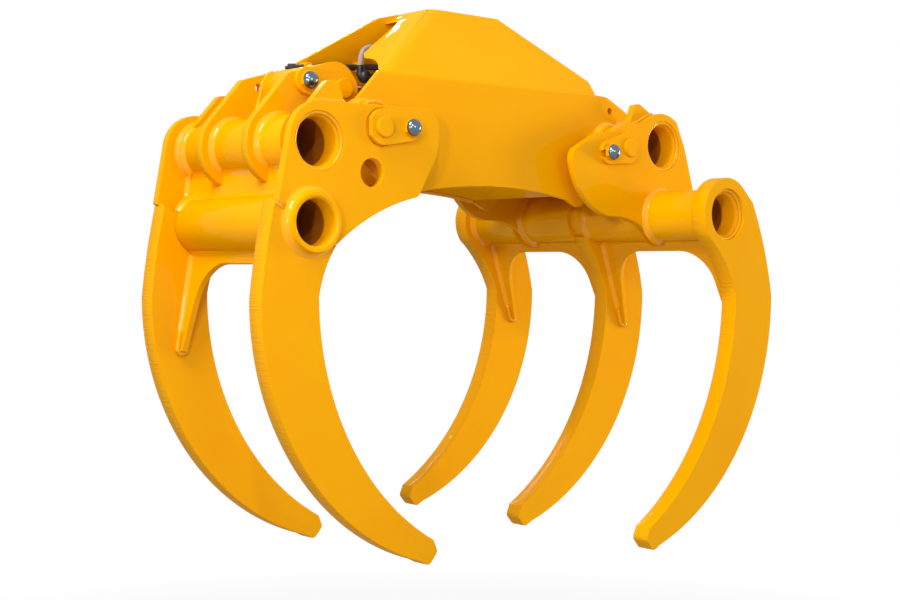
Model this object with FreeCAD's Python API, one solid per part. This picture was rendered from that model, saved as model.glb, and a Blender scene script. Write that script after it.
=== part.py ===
"""Five-tine log grapple, hung from its flange: two tines of the left jaw close between three others.

Millimetres, +Z up. The origin is the middle of the flange's top face. The jaws open along X, their
pivots lie along Y, and the front of the casing faces -Y. Each jaw is drawn in its own plane, with its
pivot at (0, 0), x outwards and z up. It is then set on its pivot, mirrored for the left jaw.
"""

import FreeCAD, Part
import math
import os

os.makedirs("parts", exist_ok=True)
Vector = FreeCAD.Vector

# Casing
PIVOT_X = 360.0  # from the middle of the casing to each jaw pivot
PIVOT_DROP = 282.0  # from the flange's top face down to the pivots
SHEET_T = 12.0
CASING_HALF = 157.0  # half the width over the upright walls
FLANGE_HALF_X = 99.0
FLANGE_HALF_Y = 59.0
FLANGE_T = 25.0
CREASE_X = 312.0  # half the length of the crease between wall and roof
CREASE_Z = 121.0  # the crease above the pivots
FRONT_ROOF_END = [(315.0, 153.0)]  # corners of the front roof's plain end, down from the flange
REAR_ROOF_END = [(150.0, 269.0), (329.0, 157.0)]  # the rear roof's, which has a shoulder
WALL_END = (317.0, CREASE_Z)  # where the wall's end edge starts down towards the pivot
WALL_END_R = 52.0  # round end of the wall about a pivot
FOOT = (264.0, -139.0)
FOOT_R = 20.0
ARCH_END = (226.0, -121.0)
ARCH_TOP = -100.0  # crown of the wall's lower edge
HIP_R = 34.0  # outside radius of the bend between roof and end flap
CREASE_R = 20.0  # outside radius of the bend between roof and wall
SLOT_TOP = (12.0, 259.0)  # y and height of the top corner of the flap's slot
SLOT_R = 10.0
BEAK = (1.0, 179.0)  # y and height of the flap's free tip
FLAP_LOW = ((-30.0, 163.0), (-98.0, 146.0), (-146.0, 119.0))  # arched lower edge
BELLY_T = 10.0
BELLY_INSET = 6.0  # the belly plate above the wall's lower edge
BELLY_HALF_X = 215.0
FLANGE_BOLTS = (120.0, 60.0)  # hole spacing along x and y
FLANGE_HOLE_R = 8.75
HOSE_HOLE_R = 25.0

# Layers outwards from a casing wall, at each pivot
OUTER_BOSS_T = 17.5
INNER_BOSS_T = 14.0
OUTER_BOSS_R = 55.0
INNER_BOSS_R = 46.0
SIDE_GAP = 0.5  # between the casing's boss and the jaw's
EAR_BOSS_T = 22.0
EAR_BOSS_R = 50.0
EAR_T = 18.0

# Jaws
TINE_T = 40.0
TUBE_R = 57.15
UPPER_WALL = 10.0
LOWER_WALL = 12.0
TUBE_CHAMFER = 5.0
UPPER_TUBE_SINK = 8.0  # the upper tubes end this deep in the ears
LUG_T = 20.0
LUG_IN = 70.0  # inside face of each cylinder lug
LUG_RING = 24.0  # lug metal round the tube
LUG_NOSE_R = 41.0  # from the cylinder pin to the lug's inner end
WEB_T = 15.0
BRIDGE_T = 14.0
RIB_T = 18.0
RIGHT_SPREAD = 411.0  # outside face of the right jaw's outer tines
RIGHT_TUBE_SINK = 12.0  # the right lower tube ends this deep in its eyes
LEFT_TUBE_PROUD = 21.0  # the left lower tube stands out past its ears
TINE_EYE_R = 82.0
PEEP_R = 28.0  # round hole through each left ear

PEEP = (23.0, -90.0)
WEB_OUT = 24.0  # outer face of the tube web beyond the line between the tube axes
LEG_TIP = 15.0  # width of a bridge leg's point

LEFT_UPPER = (149.5, -35.5)
LEFT_LOWER = (170.0, -190.0)
RIGHT_UPPER = (128.5, 11.0)
RIGHT_LOWER = (119.0, -153.0)
TINE_BACK = (-273.0, -337.0, 556.0)  # centre and radius of a tine's back
TINE_BITE = (-421.0, -330.0, 571.0)  # centre and radius of a tine's inner edge
BACK_END = 72.5  # degrees below level
BITE_END = 60.5
BACK_TOP = (283.0, -337.0)
BITE_TOP = (150.0, -330.0)
TIP_LOW = (-128.0, -879.0, 12.0)
TIP_HIGH = (-151.0, -852.0, 10.0)
LEFT_JOINT = ((252.0, -149.0), (108.0, -231.0))  # butt weld between left ear and tine
FRONT_SHOULDER = (205.0, 41.0, 75.0)  # corner and its radius at the top of the left ear's outer edge
FRONT_TOE = -8.6  # the ear's lower corner past the joint's outer end, along the joint
REAR_SHOULDER = (222.0, 40.0, 75.0)
REAR_TOE = 5.8
TOE_R = 6.0

# Pins and cylinder
FIT = 0.05  # radial clearance of a pin in its bore
WELD_FIT = 0.25  # radial clearance of a tube in its hole
OPEN_CLEAR = 4.5  # radial clearance of the rod eye's bush, where the linkage is opened
PIN_R = 24.0
PIN_HEAD = 6.0
BUSH_WALL = 5.0
PLATE_T = 10.0
STUD_R = 8.0
DOME_R = 18.0
DOME_SINK = 4.0  # the dome's centre below the nut's top
PIN_STEP = 3.0  # the pin is this much smaller in radius where it passes its plate
PIN_EDGE = 3.0
PLATE_SQUARE = 32.0  # pin centre to the square end of a pivot's plate
SEAT_R = 38.0  # shallow seat round each left pin, partly uncovered by its plate
SEAT_DEPTH = 3.0
NUT_R = 19.0  # over the corners
NUT_T = 9.0
PLATE_BOLT_AT = 67.0  # pin to bolt on a pivot's retaining plate
PLATE_PIN_R = 36.0
PLATE_BOLT_R = 27.0
LEFT_PLATE_TURN = 2.0  # degrees
RIGHT_PLATE_TURN = -12.0
CYL_PIN = (4.3, 86.0)
LEFT_CYL_BOLT = (93.5, 94.0)
RIGHT_CYL_BOLT = (80.0, 98.0)
EYE_GAP = 1.0  # cylinder eye to each lug
CYL_EYE_R = 42.0
ROD_R = 24.0
BORE_R = 50.0
BARREL_R = 58.0
BARREL_BASE = 64.0  # barrel pin to the floor of the bore
BARREL_L = 555.0  # barrel pin to the gland's outer face
GLAND_L = 40.0
GLAND_LIP = 8.0
PISTON_AT = 540.0  # rod pin to the piston's far face
PISTON_L = 40.0
BASE_L = 40.0
NECK_R = 30.0
NECK_L = 24.0
SPIGOT_R = 17.0
PORT_R = 13.0
PORT_RISE = 10.0  # the port's face above the barrel
PORT_TURN = 47.0  # degrees from the top of the barrel towards its rear
PORT_INSET = 66.0  # gland's outer face to the front port
PLUG_R = 10.0
BANJO_R = 14.0
BANJO_T = 20.0
ARM_R = 9.0  # the elbow's arm along the barrel
ARM_L = 62.0
KNUCKLE_R = 15.0

CAP_WALL = 2.5
CAP_L = 16.0
CLIP_WALL = 4.0
CLIP_L = 18.0

# Hoses: braided pressure hose on the barrel, black hose clipped inside the rear sheet
BRAID_R = 6.0
BRAID_ROUTE = [  # x from the front port
    (-71.5, 60.0, 163.0),
    (-71.5, 60.0, 191.0),
    (-47.0, 60.0, 207.5),
    (-11.0, 59.0, 199.5),
    (29.5, 56.0, 193.5),
]
BLACK_R = 6.5
BLACK_OFF = 16.0  # from the rear roof's inner face to the black hose's middle, along y
BLACK_LINE = [(-60.0, 171.0), (-130.0, 169.0), (-210.0, 161.0), (-280.0, 155.0), (-334.0, 150.0)]

WALL_IN = CASING_HALF - SHEET_T
BOSS_OUT = CASING_HALF + OUTER_BOSS_T
BOSS_IN = WALL_IN - INNER_BOSS_T
EAR_IN = BOSS_OUT + SIDE_GAP + EAR_BOSS_T
EAR_OUT = EAR_IN + EAR_T
TINE_IN = EAR_OUT - TINE_T
PLATE_OUT = EAR_OUT + PLATE_T
LUG_OUT = LUG_IN + LUG_T
PORT_OUT = BARREL_R + PORT_RISE  # barrel axis to the port's face
PORT_WAY = Vector(0, math.sin(math.radians(PORT_TURN)), math.cos(math.radians(PORT_TURN)))
FAR = 2 * PIVOT_X  # beyond every part of the casing


def flat(start, *steps):
    """A closed face in the XZ plane. A step is (x, z), (x, z, corner radius) or (arc middle, end)."""
    corners = []
    for step in (start,) + steps:
        if isinstance(step[0], tuple):
            corners.append({"at": step[1], "mid": step[0], "r": 0.0})
        else:
            corners.append({"at": step[:2], "mid": None, "r": step[2] if len(step) == 3 else 0.0})
    joins = [corner_join(corners, i) for i in range(len(corners))]
    edges = []
    for i, (enter, middle, leave) in enumerate(joins):
        if middle:
            edges.append(Part.Arc(enter, middle, leave).toShape())
        following = corners[(i + 1) % len(corners)]
        target = joins[(i + 1) % len(corners)][0]
        if following["mid"]:
            edges.append(Part.Arc(leave, point(following["mid"]), target).toShape())
        elif leave.distanceToPoint(target) > 1e-6:
            edges.append(Part.LineSegment(leave, target).toShape())
    return Part.Face(Part.Wire(edges))


def point(at):
    return Vector(at[0], 0, at[1])


def corner_join(corners, i):
    """Where a corner's rounding starts, its middle point and where it ends."""
    here = point(corners[i]["at"])
    radius = corners[i]["r"]
    if not radius:
        return here, None, here
    back = (point(corners[i - 1]["at"]) - here).normalize()
    onward = (point(corners[(i + 1) % len(corners)]["at"]) - here).normalize()
    half = back.getAngle(onward) / 2
    reach = radius / math.tan(half)
    middle = here + (back + onward).normalize() * (radius / math.sin(half) - radius)
    return here + back * reach, middle, here + onward * reach


def slab(face, y0, y1):
    """The face drawn at y = 0, as a plate from y0 to y1."""
    plate = face.extrude(Vector(0, y1 - y0, 0))
    plate.translate(Vector(0, y0, 0))
    return plate


def rod(at, radius, y0, y1):
    return Part.makeCylinder(radius, y1 - y0, Vector(at[0], y0, at[1]), Vector(0, 1, 0))


def ring(at, outer, inner, y0, y1):
    return rod(at, outer, y0, y1).cut(rod(at, inner, y0 - 1, y1 + 1))


def mirrored(shape):
    """The shape's copy on the other side of the middle plane."""
    return shape.mirror(Vector(0, 0, 0), Vector(0, 1, 0))


def polar(centre, radius, degrees):
    angle = math.radians(degrees)
    return (centre[0] + radius * math.cos(angle), centre[1] + radius * math.sin(angle))


def touch_point(centre, radius, outside, turn):
    """Where a line from an outside point touches a circle; turn (+1 or -1) picks which side."""
    dx, dz = outside[0] - centre[0], outside[1] - centre[1]
    angle = math.atan2(dz, dx) + turn * math.acos(radius / math.hypot(dx, dz))
    return polar(centre, radius, math.degrees(angle))


def set_on_pivot(shape, side):
    """Moves a piece from its jaw's own plane to the jaw's pivot; side is +1 right, -1 left."""
    placed = shape.mirror(Vector(0, 0, 0), Vector(1, 0, 0)) if side < 0 else shape.copy()
    placed.translate(Vector(side * PIVOT_X, 0, -PIVOT_DROP))
    return placed


def save(name, *pieces):
    solids = [solid for piece in pieces for solid in piece.Solids]
    whole = solids[0] if len(solids) == 1 else Part.makeCompound(solids)
    whole.exportStep(f"parts/{name}.step")
    state = "valid" if whole.isValid() else "NOT VALID"
    print(f"{name}: {len(solids)} solids, {whole.Volume / 1e3:.0f} cm3, {state}")


# Casing ---------------------------------------------------------------------------------------------
# Heights in this part are above the pivots until a piece is saved.

def end_slope_x(z, inset):
    """Where the left end slope, drawn in by inset, stands at a height above the pivots."""
    run, rise = CREASE_X - FLANGE_HALF_X, PIVOT_DROP - CREASE_Z
    return inset * math.hypot(run, rise) / rise - FLANGE_HALF_X - (PIVOT_DROP - z) * run / rise


def across(*steps):
    """A face drawn like flat's, with y in place of x, at the casing's left limit."""
    face = flat(*steps)
    face.rotate(Vector(0, 0, 0), Vector(0, 0, 1), 90)
    face.translate(Vector(-FAR, 0, 0))
    return face


def under_roofs(inset):
    """The space between the two roof slopes, drawn in by inset, over the whole length."""
    width, rise = CASING_HALF - FLANGE_HALF_Y, PIVOT_DROP - CREASE_Z
    shift = inset * math.hypot(width, rise) / rise
    low, top = CASING_HALF - shift, FLANGE_HALF_Y - shift
    section = across((-low, CREASE_Z), (-top, PIVOT_DROP), (top, PIVOT_DROP), (low, CREASE_Z))
    return section.extrude(Vector(2 * FAR, 0, 0))


def roof_inside_y(z):
    """Where the rear roof's inner face stands at a height above the pivots."""
    width, rise = CASING_HALF - FLANGE_HALF_Y, PIVOT_DROP - CREASE_Z
    return CASING_HALF - (SHEET_T * math.hypot(width, rise) + (z - CREASE_Z) * width) / rise


def house(inset):
    """The same space closed by the left end slope, with the bend between it and the front roof."""
    side = flat((end_slope_x(PIVOT_DROP, inset), PIVOT_DROP), (FAR, PIVOT_DROP), (FAR, CREASE_Z),
                (end_slope_x(CREASE_Z, inset), CREASE_Z))
    block = under_roofs(inset).common(slab(side, -FAR, FAR))
    return block.makeFillet(HIP_R - inset, [edge for edge in block.Edges if is_hip(edge)])


def is_hip(edge):
    """True for the edge where the front roof meets the end slope."""
    first, last = (vertex.Point for vertex in edge.Vertexes)
    slopes = min(abs(first.x - last.x), abs(first.y - last.y), abs(first.z - last.z)) > 1
    return slopes and first.y < 0


def crease_corner():
    """The sliver between the sharp crease of the front roof and wall and their bend."""
    width, rise = CASING_HALF - FLANGE_HALF_Y, PIVOT_DROP - CREASE_Z
    turn = math.atan2(width, rise)
    reach = CREASE_R * math.tan(turn / 2)
    wall_touch = (-CASING_HALF, CREASE_Z - reach)
    roof_touch = (reach * math.sin(turn) - CASING_HALF, CREASE_Z + reach * math.cos(turn))
    centre = (CREASE_R - CASING_HALF, wall_touch[1])
    middle = polar(centre, CREASE_R, 180 - math.degrees(turn) / 2)
    corner = across(wall_touch, (-CASING_HALF, CREASE_Z), roof_touch, (middle, wall_touch))
    return corner.extrude(Vector(2 * FAR, 0, 0))


def wall_outline():
    """Side view of a sheet's wall: round ends about the pivots, feet and an arched lower edge."""
    pivot = (PIVOT_X, 0.0)
    end_high = touch_point(pivot, WALL_END_R, WALL_END, -1)
    end_low = touch_point(pivot, WALL_END_R, FOOT, 1)
    end_mid = (PIVOT_X + WALL_END_R, 0.0)

    def left(at):
        return (-at[0], at[1])

    return flat(left(WALL_END), WALL_END, end_high, (end_mid, end_low), FOOT + (FOOT_R,), ARCH_END,
                ((0.0, ARCH_TOP), left(ARCH_END)), left(FOOT) + (FOOT_R,), left(end_low),
                (left(end_mid), left(end_high)))


def casing_sheet(roof_end):
    """A sheet drawn as the front one: roof and wall with a flap bent round its left end."""
    shell = house(0).cut(house(SHEET_T))
    keep = flat((-FAR, PIVOT_DROP), (FLANGE_HALF_X, PIVOT_DROP), *roof_end, WALL_END, (-FAR, CREASE_Z))
    front_half = slab(keep, -FAR, 0)
    flap_half = slab(keep, 0, FAR).common(under_roofs(SHEET_T))
    roof = shell.common(front_half.fuse(flap_half)).cut(flap_gap())
    sheet = roof.fuse(slab(wall_outline(), -CASING_HALF, -WALL_IN)).removeSplitter()
    bores = [rod((x, 0.0), PIN_R + BUSH_WALL + FIT, -FAR, 0) for x in (-PIVOT_X, PIVOT_X)]
    return sheet.cut([crease_corner()] + bores)


def flap_gap():
    """The opening cut past the flap: a slot with a round top, the beak and the arched lower edge."""
    edge = across((FAR, SLOT_TOP[1]), SLOT_TOP + (SLOT_R,), BEAK, FLAP_LOW[0], FLAP_LOW[1:],
                  (FLAP_LOW[2][0], 0.0), (FAR, 0.0))
    gap = edge.extrude(Vector(FAR, 0, 0))
    inside = 2 * SHEET_T
    end_zone = flat((end_slope_x(PIVOT_DROP, inside), PIVOT_DROP), (-FAR, PIVOT_DROP), (-FAR, 0.0),
                    (end_slope_x(0.0, inside), 0.0))
    return gap.common(slab(end_zone, -FAR, FAR))


def half_turn(shape):
    """The piece turned half round about the flange, as the rear sheet stands."""
    copy = shape.copy()
    copy.rotate(Vector(0, 0, 0), Vector(0, 0, 1), 180)
    return copy


def flange_plate():
    """The plate let in between the sheets' top edges, with its bolt holes and the hose hole."""
    block = Part.makeBox(2 * FAR, 2 * FAR, FLANGE_T, Vector(-FAR, -FAR, PIVOT_DROP - FLANGE_T))
    inside = house(SHEET_T)
    plate = block.common(inside).common(half_turn(inside))
    holes = [Part.makeCylinder(HOSE_HOLE_R, FAR, Vector(0, 0, PIVOT_DROP - FLANGE_T - 1))]
    for sx in (-1, 1):
        for sy in (-1, 1):
            at = Vector(sx * FLANGE_BOLTS[0] / 2, sy * FLANGE_BOLTS[1] / 2, PIVOT_DROP - FLANGE_T - 1)
            holes.append(Part.makeCylinder(FLANGE_HOLE_R, FAR, at))
    return plate.cut(holes)


def belly_plate():
    """The arched plate that closes the casing from below, just inside the walls' lower edge."""
    fall = ARCH_TOP - ARCH_END[1]
    arch_r = (ARCH_END[0] ** 2 + fall ** 2) / (2 * fall)
    drop = arch_r - math.sqrt(arch_r ** 2 - BELLY_HALF_X ** 2)
    low = ARCH_TOP + BELLY_INSET
    high = low + BELLY_T
    face = flat((-BELLY_HALF_X, low - drop), ((0.0, low), (BELLY_HALF_X, low - drop)),
                (BELLY_HALF_X, high - drop), ((0.0, high), (-BELLY_HALF_X, high - drop)))
    return slab(face, -WALL_IN, WALL_IN)


def at_pivots(make, layers):
    """One piece at every pivot and side: make(pivot, y0, y1) for the layer's two depths."""
    pieces = []
    for x in (-PIVOT_X, PIVOT_X):
        for y0, y1 in (layers, (-layers[1], -layers[0])):
            pieces.append(make((x, 0.0), y0, y1))
    return pieces


def outer_boss(pivot, y0, y1):
    return ring(pivot, OUTER_BOSS_R, PIN_R + BUSH_WALL + FIT, y0, y1)


def inner_boss(pivot, y0, y1):
    return ring(pivot, INNER_BOSS_R, PIN_R + BUSH_WALL + FIT, y0, y1)


def pivot_bush(pivot, y0, y1):
    return ring(pivot, PIN_R + BUSH_WALL, PIN_R + FIT, y0, y1)


def save_casing():
    clipped = [(x, roof_inside_y(z) - BLACK_OFF, z) for x, z in BLACK_LINE]
    groups = {
        "front_sheet": [casing_sheet(FRONT_ROOF_END)],
        "rear_sheet": [half_turn(casing_sheet(REAR_ROOF_END))],
        "flange_plate": [flange_plate()],
        "belly_plate": [belly_plate()],
        "outer_bosses": at_pivots(outer_boss, (CASING_HALF, BOSS_OUT)),
        "inner_bosses": at_pivots(inner_boss, (BOSS_IN, WALL_IN)),
        "pivot_bushes": at_pivots(pivot_bush, (BOSS_IN, BOSS_OUT)),
        "black_hose": [hose(clipped, BLACK_R)],
        "black_hose_ends": [end_cap(clipped[1], clipped[0], BLACK_R),
                            end_cap(clipped[-2], clipped[-1], BLACK_R)],
        "hose_clips": hose_clips(clipped),
    }
    for name, pieces in groups.items():
        for piece in pieces:
            piece.translate(Vector(0, 0, -PIVOT_DROP))
        save(name, *pieces)


# Hoses ----------------------------------------------------------------------------------------------

def hose(route, radius):
    """A round hose along straight runs joined by arcs as large as the runs allow."""
    places = [Vector(*place) for place in route]
    edges = []
    begin = places[0]
    for before, here, after in zip(places, places[1:], places[2:]):
        back, onward = (before - here), (after - here)
        half = back.getAngle(onward) / 2
        reach = 0.45 * min(back.Length, onward.Length)
        back.normalize()
        onward.normalize()
        bend = reach * math.tan(half)
        middle = here + (back + onward).normalize() * (bend / math.sin(half) - bend)
        print(f"  hose bend radius {bend:.0f}")
        edges.append(Part.LineSegment(begin, here + back * reach).toShape())
        edges.append(Part.Arc(here + back * reach, middle, here + onward * reach).toShape())
        begin = here + onward * reach
    edges.append(Part.LineSegment(begin, places[-1]).toShape())
    path = Part.Wire(edges)
    along = places[1] - places[0]
    section = Part.Wire(Part.makeCircle(radius, places[0], along))
    tube = path.makePipeShell([section], True, False)
    print(f"  hose length {path.Length:.0f}, section x length / volume "
          f"{math.pi * radius ** 2 * path.Length / tube.Volume:.4f}")
    return tube


def end_cap(before, end, radius):
    """A hose end's crimped sleeve with its plug, past the end of the route."""
    along = (Vector(*end) - Vector(*before)).normalize()
    start = Vector(*end)
    sleeve = Part.makeCylinder(radius + CAP_WALL, CAP_L, start, along)
    plug = Part.makeCylinder(radius - CAP_WALL, CAP_L / 2, start + along * CAP_L, along)
    return sleeve.fuse(plug)


def hose_clips(route):
    """Blocks that hold the black hose off the rear sheet's roof, one in the middle of two of its runs."""
    inside = under_roofs(SHEET_T)
    clips = []
    for here, after in zip(route[1:4:2], route[2:5:2]):
        middle = (Vector(*here) + Vector(*after)) * 0.5
        along = (Vector(*after) - Vector(*here)).normalize()
        low = BLACK_R + CLIP_WALL
        corner = middle - Vector(CLIP_L / 2, low, low)
        block = Part.makeBox(CLIP_L, CASING_HALF, 2 * low, corner).common(inside)
        bore = Part.makeCylinder(BLACK_R, 4 * CLIP_L, middle - along * 2 * CLIP_L, along)
        clips.append(block.cut(bore))
    return clips


# Jaws -----------------------------------------------------------------------------------------------

def tine_edge():
    """A tine's back, blunt tip and inner edge: the steps from the top of its back to its bite's top."""
    back, bite = TINE_BACK[:2], TINE_BITE[:2]
    back_mid = polar(back, TINE_BACK[2], -BACK_END / 2)
    back_end = polar(back, TINE_BACK[2], -BACK_END)
    bite_end = polar(bite, TINE_BITE[2], -BITE_END)
    bite_mid = polar(bite, TINE_BITE[2], -BITE_END / 2)
    return [(back_mid, back_end), TIP_LOW, TIP_HIGH, bite_end, (bite_mid, BITE_TOP)]


def left_tine():
    """Welded under the ear along a straight joint that crosses the lower tube."""
    face = flat(LEFT_JOINT[0], ((271.0, -245.0), BACK_TOP), *tine_edge(), ((134.0, -276.0), LEFT_JOINT[1]))
    return slab(face, -EAR_OUT, -TINE_IN).cut(tube_space(LEFT_LOWER))


def left_ear(toe, shoulder):
    """Shoulder and toe end its outer edge, which stands further out on the rear ear."""
    outer, inner = point(LEFT_JOINT[0]), point(LEFT_JOINT[1])
    corner = outer + (outer - inner).normalize() * toe
    face = flat((corner.x, corner.z, TOE_R), shoulder, (-156.0, 45.0, 42.0), (-147.0, -45.0, 60.0),
                (-98.0, -131.0, 20.0), ((13.0, -170.0), LEFT_JOINT[1]))
    ear = slab(face, -EAR_OUT, -EAR_IN)
    ear = ear.cut([tube_space(LEFT_UPPER), tube_space(LEFT_LOWER), pin_space((0.0, 0.0))])
    seat = rod((0.0, 0.0), SEAT_R, -EAR_OUT - 1, SEAT_DEPTH - EAR_OUT)
    return ear.cut([rod(PEEP, PEEP_R, -EAR_OUT - 1, 1 - EAR_IN), seat, stud_space(LEFT_PLATE_TURN)])


def right_ear():
    """Saddled over the lower tube, which runs on past it to the outer tines."""
    face = flat((-178.0, -14.0, 26.0), (-101.0, 27.0), (-47.0, 36.0), ((0.0, 55.0), (45.0, 58.0)),
                (84.0, 77.0), ((128.5, 86.0), (176.0, 69.0)), (205.0, 12.0), (243.0, -102.0, 14.0),
                (176.0, -178.0), (93.0, -203.0), ((25.0, -166.0), (-52.0, -158.0)),
                ((-136.0, -118.0), (-178.0, -40.0)))
    ear = slab(face, -EAR_OUT, -EAR_IN)
    ear = ear.cut([tube_space(RIGHT_UPPER), tube_space(RIGHT_LOWER), pin_space((0.0, 0.0))])
    return ear.cut(stud_space(RIGHT_PLATE_TURN))


def right_outer_tine():
    """Carried by an eye round the lower tube's end."""
    eye_low = polar(RIGHT_LOWER, TINE_EYE_R, 219.0)
    eye_top = polar(RIGHT_LOWER, TINE_EYE_R, 100.0)
    eye_end = polar(RIGHT_LOWER, TINE_EYE_R, 48.0)
    face = flat(eye_low, ((RIGHT_LOWER[0] - TINE_EYE_R, RIGHT_LOWER[1]), eye_top),
                (polar(RIGHT_LOWER, TINE_EYE_R, 74.0), eye_end), (210.0, -124.0),
                ((262.0, -250.0), BACK_TOP), *tine_edge(), ((108.0, -258.0), eye_low))
    tine = slab(face, -RIGHT_SPREAD, TINE_T - RIGHT_SPREAD)
    return tine.cut(tube_space(RIGHT_LOWER))


def right_middle_tine():
    """Coped under the lower tube and up its outer side."""
    face = flat((162.0, -118.0), (210.0, -124.0, 16.0), (258.0, -238.0), ((273.0, -287.0), BACK_TOP),
                *tine_edge(), ((116.0, -258.0), (74.0, -200.0)), (100.0, -180.0))
    tine = slab(face, -TINE_T / 2, TINE_T / 2)
    return tine.cut(rod(RIGHT_LOWER, TUBE_R, -TINE_T, TINE_T))


def tube_space(axis):
    return rod(axis, TUBE_R + WELD_FIT, -PIVOT_X * 2, PIVOT_X * 2)


def pin_space(axis):
    return rod(axis, PIN_R + FIT, -PIVOT_X * 2, PIVOT_X * 2)


def stud_space(turn):
    """Clearance hole for the stud that holds a pivot pin's retaining plate."""
    return rod(plate_bolt(turn), STUD_R + FIT, -PIVOT_X, PIVOT_X)


def plate_bolt(turn):
    return polar((0.0, 0.0), PLATE_BOLT_AT, 180 - turn)


def tube(axis, wall, half):
    """A crossways tube with both mouths chamfered inside."""
    body = ring(axis, TUBE_R, TUBE_R - wall, -half, half)
    bore = TUBE_R - wall
    for y, inward in ((-half, 1), (half, -1)):
        mouth = Part.makeCone(bore + TUBE_CHAMFER, bore, TUBE_CHAMFER, Vector(axis[0], y, axis[1]),
                              Vector(0, inward, 0))
        body = body.cut(mouth)
    return body


def tube_web(upper, lower):
    """The flat strip that ties the two tubes together behind the ears."""
    across = (Vector(lower[0] - upper[0], 0, lower[1] - upper[1])).normalize()
    out = Vector(-across.z, 0, across.x)
    if out.x < 0:
        out = out * -1
    near = out * (WEB_OUT - WEB_T)
    far = out * WEB_OUT
    ends = [point(upper), point(lower)]
    corners = [ends[0] + near, ends[1] + near, ends[1] + far, ends[0] + far]
    strip = slab(flat(*[(c.x, c.z) for c in corners]), -EAR_IN, EAR_IN)
    strip = strip.cut([rod(axis, TUBE_R, -EAR_OUT, EAR_OUT) for axis in (upper, lower)])
    lug_disc = TUBE_R + LUG_RING
    return strip.cut([rod(upper, lug_disc, -LUG_OUT, -LUG_IN), rod(upper, lug_disc, LUG_IN, LUG_OUT)])


def bridge_bay(axis, toward, y_middle, half, knee, arch, leg, radius):
    """A plate hung from the lower tube between two tines: an arch with two pointed legs."""
    face = flat((-half, 0.0), (half, 0.0), (half, -leg), (half - LEG_TIP, -leg), (knee, -arch, radius),
                (-knee, -arch, radius), (LEG_TIP - half, -leg), (-half, -leg))
    plate = slab(face, -BRIDGE_T / 2, BRIDGE_T / 2)
    plate.rotate(Vector(0, 0, 0), Vector(0, 0, 1), 90)
    lean = math.degrees(math.atan2(toward[0] - axis[0], axis[1] - toward[1]))
    plate.rotate(Vector(0, 0, 0), Vector(0, 1, 0), -lean)
    plate.translate(Vector(axis[0], y_middle, axis[1]))
    return plate.cut(rod(axis, TUBE_R, y_middle - FAR, y_middle + FAR))


def left_bridge():
    return [bridge_bay(LEFT_LOWER, (215.0, -450.0), 0.0, TINE_IN, 125.0, 79.5, 263.0, 95.0)]


def right_bridges():
    inner, outer = TINE_T / 2, RIGHT_SPREAD - TINE_T
    middle, half = (inner + outer) / 2, (outer - inner) / 2
    bay = bridge_bay(RIGHT_LOWER, (208.0, -410.0), -middle, half, 133.0, 83.5, 272.0, 85.0)
    return [bay, mirrored(bay)]


def left_lug():
    disc_r = TUBE_R + LUG_RING
    side = touch_point(LEFT_UPPER, disc_r, (132.0, 107.0), -1)
    under = touch_point(LEFT_UPPER, disc_r, (-20.0, 54.0), 1)
    face = flat(LEFT_UPPER, side, (132.0, 107.0, 12.0), (28.0, 137.0),
                (polar(CYL_PIN, LUG_NOSE_R, 157.0), (-22.0, 55.0)), under)
    return lug(face, LEFT_UPPER, LEFT_CYL_BOLT)


def right_lug():
    disc_r = TUBE_R + LUG_RING
    side = touch_point(RIGHT_UPPER, disc_r, (121.0, 107.0), -1)
    under = touch_point(RIGHT_UPPER, disc_r, (-20.0, 54.0), 1)
    face = flat(RIGHT_UPPER, side, (121.0, 107.0, 10.0), (68.0, 131.0, 20.0), (24.0, 133.0),
                (polar(CYL_PIN, LUG_NOSE_R, 157.0), (-22.0, 55.0)), under)
    return lug(face, RIGHT_UPPER, RIGHT_CYL_BOLT)


def lug(arm, axis, bolt):
    """A cylinder lug: an arm grown from a disc round the upper tube."""
    plate = slab(arm, -LUG_OUT, -LUG_IN).fuse(rod(axis, TUBE_R + LUG_RING, -LUG_OUT, -LUG_IN))
    plate = plate.cut([tube_space(axis), pin_space(CYL_PIN), rod(bolt, STUD_R + FIT, -FAR, FAR)])
    return plate.removeSplitter()


def left_lug_web():
    """The rolled plate that boxes in the two cylinder lugs."""
    face = flat((44.0, 133.0), ((70.0, 110.0), (78.0, 70.0)), (98.0, 10.0), (110.0, 14.0), (90.0, 74.0),
                ((81.0, 114.0), (58.0, 128.0)))
    return slab(face, -LUG_IN, LUG_IN).cut(rod(LEFT_UPPER, TUBE_R, -LUG_OUT, LUG_OUT))


def right_lug_web():
    face = flat((38.0, 131.0), ((60.0, 112.0), (68.0, 80.0)), (86.0, 40.0), (98.0, 46.0), (80.0, 85.0),
                ((72.0, 114.0), (54.0, 131.0)))
    return slab(face, -LUG_IN, LUG_IN).cut(rod(RIGHT_UPPER, TUBE_R, -LUG_OUT, LUG_OUT))


def left_rib():
    """A rib inside the ear, standing on the upper tube."""
    face = flat(LEFT_UPPER, (182.0, 12.0), (118.0, 84.0, 12.0), (92.0, 86.0, 12.0), (76.0, 40.0),
                (96.0, -20.0))
    rib = slab(face, -EAR_IN, RIB_T - EAR_IN)
    return rib.cut(rod(LEFT_UPPER, TUBE_R, -EAR_OUT, EAR_OUT))


def right_rib():
    face = flat(RIGHT_UPPER, (166.0, 52.0), (119.0, 78.0), (64.0, 106.0, 10.0), (48.0, 104.0, 10.0),
                (30.0, 60.0), (54.0, 40.0))
    rib = slab(face, -EAR_IN, RIB_T - EAR_IN)
    return rib.cut([rod(RIGHT_UPPER, TUBE_R, -EAR_OUT, EAR_OUT), rod((0.0, 0.0), EAR_BOSS_R, -FAR, FAR)])


def ear_boss():
    return ring((0.0, 0.0), EAR_BOSS_R, PIN_R + FIT, -EAR_IN, -EAR_IN + EAR_BOSS_T)


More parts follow.
